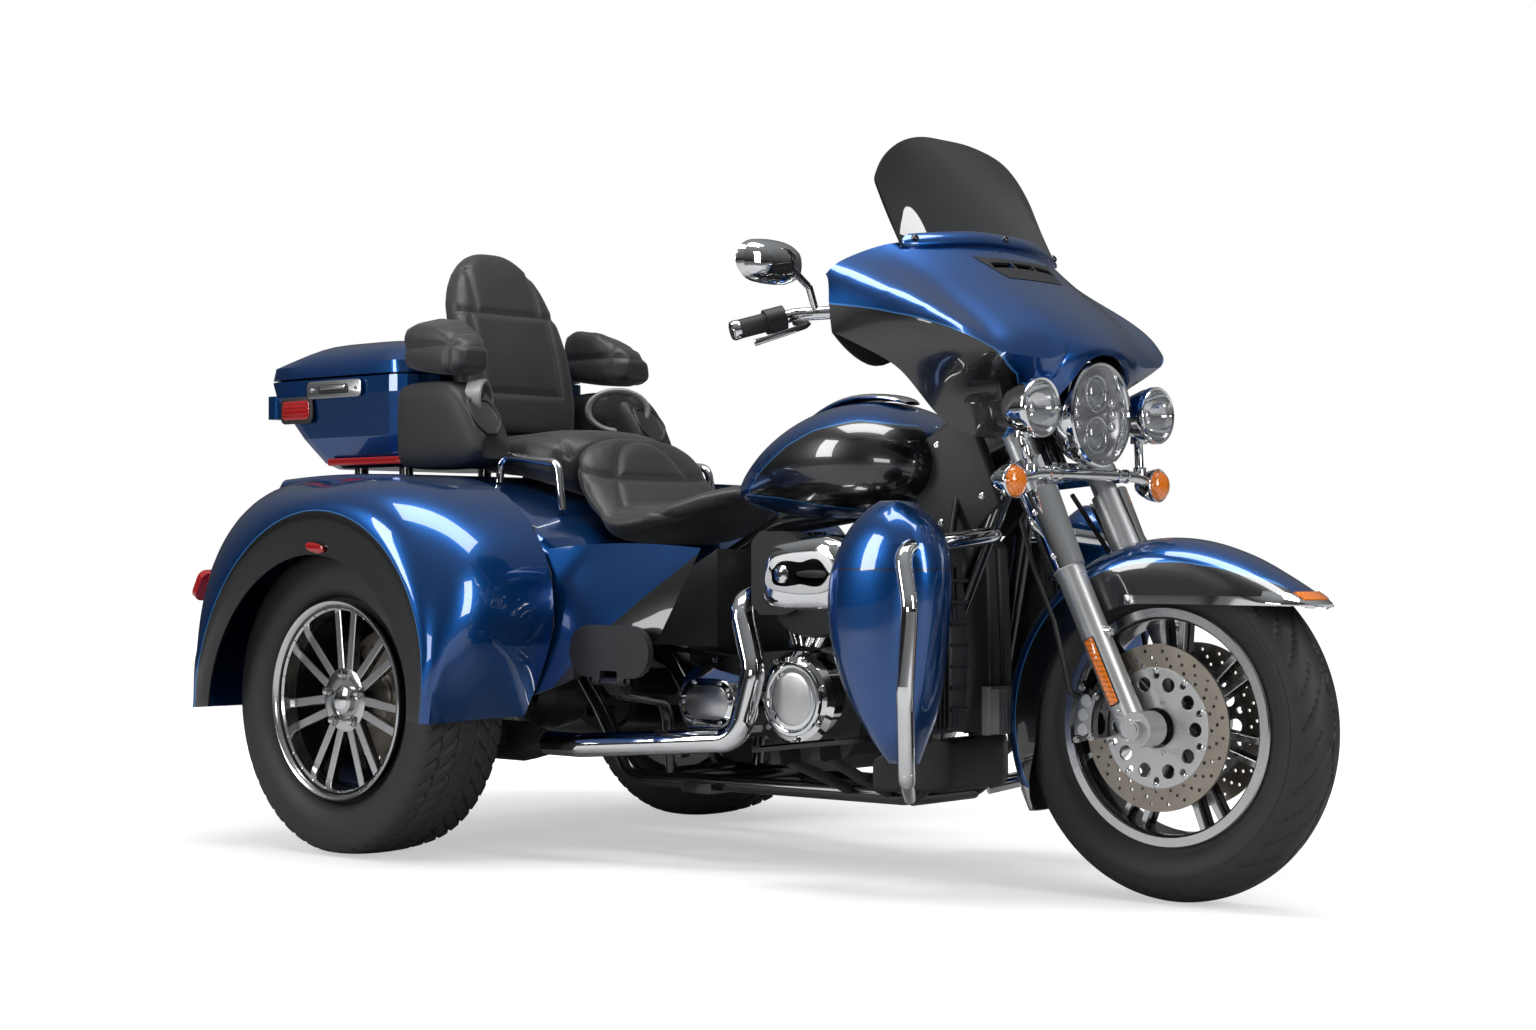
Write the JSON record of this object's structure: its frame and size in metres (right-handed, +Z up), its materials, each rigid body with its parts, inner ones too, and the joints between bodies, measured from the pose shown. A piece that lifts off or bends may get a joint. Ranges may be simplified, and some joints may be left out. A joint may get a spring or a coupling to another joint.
{
  "type": "touring trike motorcycle",
  "caption": "Full-size touring trike: fork-mounted fairing and screen, two-cylinder engine, bucket seats, opening top box and boot, wide rear fenders over car-type rear tyres.",
  "frame": {"origin": "on the ground, in the middle of the overall length and width", "axes": "+X forward, +Y to the left, +Z up"},
  "size_m": [2.667, 1.39, 1.443],
  "materials": {
    "paint_blue": "deep metallic blue under clear lacquer, with gloss black panels and a fine pale blue line",
    "chrome": "bright polished chrome",
    "satin_aluminium": "satin brushed aluminium",
    "frame_black": "gloss black powder coat",
    "engine_black": "textured heat-proof black, fins with bright edges",
    "black_plastic": "moulded black plastic with a fine grain",
    "seat_leather": "soft black grained leather with stitched seams",
    "tyre": "black tyre rubber",
    "wheel_silver": "machined aluminium with black pockets",
    "disc_steel": "turned brake disc steel",
    "smoked_screen": "smoked polycarbonate",
    "red_lens": "red lamp lens",
    "board_rubber": "ribbed black rubber in a bright edge",
    "hose_rubber": "smooth black hose",
    "belt_rubber": "toothed drive belt"
  },
  "bodies": {
    "chassis": {"frame": "frame_black", "board_arms": "frame_black", "engine_cases": "engine_black", "cylinders": "engine_black", "engine_covers": "chrome", "air_cleaner": "chrome", "exhaust_pipes": "chrome", "mufflers": "engine_black", "fuel_tank": "paint_blue", "tank_console": "chrome", "lower_fairings": "paint_blue", "radiators": "black_plastic", "engine_guard": "chrome", "rider_footboards": "board_rubber", "regulator": "satin_aluminium", "chin_cover": "black_plastic", "battery_box": "black_plastic", "side_panels": "paint_blue", "rear_body": "paint_blue", "rear_fenders": "paint_blue", "arch_liners": "black_plastic", "tail_lamps": "red_lens", "rear_axle": "frame_black", "drive_belt": "belt_rubber", "top_box": "paint_blue", "backrest": "seat_leather", "speaker_pods": "black_plastic", "rider_seat": "seat_leather", "passenger_seat": "seat_leather", "grab_rails": "chrome"},
    "steering": {"fork_yokes": "satin_aluminium", "fork_legs": "satin_aluminium", "front_axle": "satin_aluminium", "fairing_outer": "paint_blue", "fairing_inner": "black_plastic", "windshield": "smoked_screen", "headlamp": "chrome", "lamp_bar": "chrome", "front_fender": "paint_blue", "handlebar": "chrome", "hand_controls": "black_plastic", "mirrors": "chrome", "brake_hoses": "hose_rubber", "front_calipers": "black_plastic"},
    "front_wheel": {"front_tyre": "tyre", "front_rim": "wheel_silver", "front_discs": "disc_steel"},
    "rear_wheel_right": {"rear_tyre_right": "tyre", "rear_rim_right": "wheel_silver", "rear_disc_right": "disc_steel"},
    "rear_wheel_left": {"rear_tyre_left": "tyre", "rear_rim_left": "wheel_silver", "rear_disc_left": "disc_steel"},
    "top_box_lid": {"box_lid": "paint_blue", "lid_pads": "seat_leather"},
    "boot_door": {"trunk_door": "paint_blue"},
    "passenger_footboard_right": {"passenger_board_right": "board_rubber"},
    "passenger_footboard_left": {"passenger_board_left": "board_rubber"}
  },
  "joints": [
    {"name": "steering", "type": "hinge", "parent": "chassis", "child": "steering", "pos_m": [0.73681, 0, 0.8], "axis": [-0.4384, 0, 0.8988], "range_deg": [-30, 30]},
    {"name": "front_wheel_spin", "type": "hinge", "parent": "steering", "child": "front_wheel", "pos_m": [1.017, 0, 0.318], "axis": [0, 1, 0], "continuous": true},
    {"name": "rear_right_spin", "type": "hinge", "parent": "chassis", "child": "rear_wheel_right", "pos_m": [-0.653, -0.513, 0.324], "axis": [0, 1, 0], "continuous": true},
    {"name": "rear_left_spin", "type": "hinge", "parent": "chassis", "child": "rear_wheel_left", "pos_m": [-0.653, 0.513, 0.324], "axis": [0, 1, 0], "continuous": true},
    {"name": "top_box_lid_hinge", "type": "hinge", "parent": "chassis", "child": "top_box_lid", "pos_m": [-1.09, 0.294, 1.034], "axis": [-1, 0, 0], "range_deg": [0, 80]},
    {"name": "boot_door_hinge", "type": "hinge", "parent": "chassis", "child": "boot_door", "pos_m": [-1.172, 0, 0.448], "axis": [0, -1, 0], "range_deg": [0, 90]},
    {"name": "footboard_right_fold", "type": "hinge", "parent": "chassis", "child": "passenger_footboard_right", "pos_m": [-0.042, -0.399, 0.378], "axis": [1, 0, 0], "range_deg": [0, 80]},
    {"name": "footboard_left_fold", "type": "hinge", "parent": "chassis", "child": "passenger_footboard_left", "pos_m": [-0.042, 0.399, 0.378], "axis": [-1, 0, 0], "range_deg": [0, 80]}
  ]
}
